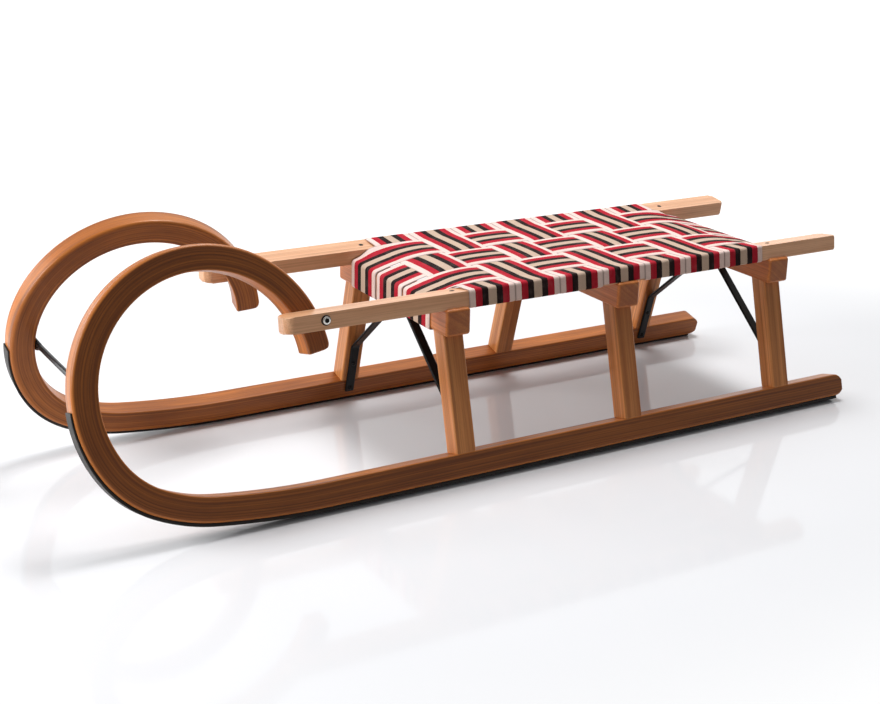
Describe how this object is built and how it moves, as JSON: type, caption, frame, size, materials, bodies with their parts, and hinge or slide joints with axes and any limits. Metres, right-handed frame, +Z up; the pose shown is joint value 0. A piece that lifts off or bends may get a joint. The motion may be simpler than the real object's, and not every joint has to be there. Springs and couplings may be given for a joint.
{
  "type": "wooden horn sled",
  "caption": "Towed wooden sled: bent runners rising into horns, braced trestles, two seat rails and a seat of woven striped webbing.",
  "frame": {"origin": "centre of the footprint on the floor, midway between the runners", "axes": "+X forward towards the horns, +Y to the sled's left, +Z up"},
  "size_m": [1.252, 0.4012, 0.3629],
  "materials": {
    "runner_wood": "clear varnished",
    "trestle_wood": "clear varnished",
    "rail_wood": "clear varnished",
    "shoe_steel": "worn, dull",
    "black_iron": "satin black",
    "striped_webbing": "woven, matt"
  },
  "bodies": {
    "root": {"runner_left": "runner_wood", "shoe_left": "shoe_steel", "rail_left": "rail_wood", "leg_front_left": "trestle_wood", "leg_middle_left": "trestle_wood", "leg_rear_left": "trestle_wood", "runner_right": "runner_wood", "shoe_right": "shoe_steel", "rail_right": "rail_wood", "leg_front_right": "trestle_wood", "leg_middle_right": "trestle_wood", "leg_rear_right": "trestle_wood", "crossbar_front": "trestle_wood", "crossbar_middle": "trestle_wood", "crossbar_rear": "trestle_wood", "brace_front": "black_iron", "brace_rear": "black_iron", "tie_rod": "black_iron", "seat_strap_across_1": "striped_webbing", "seat_strap_across_2": "striped_webbing", "seat_strap_across_3": "striped_webbing", "seat_strap_across_4": "striped_webbing", "seat_strap_across_5": "striped_webbing", "seat_strap_across_6": "striped_webbing", "seat_strap_across_7": "striped_webbing", "seat_strap_along_left": "striped_webbing", "seat_strap_along_middle": "striped_webbing", "seat_strap_along_right": "striped_webbing"}
  },
  "joints": []
}
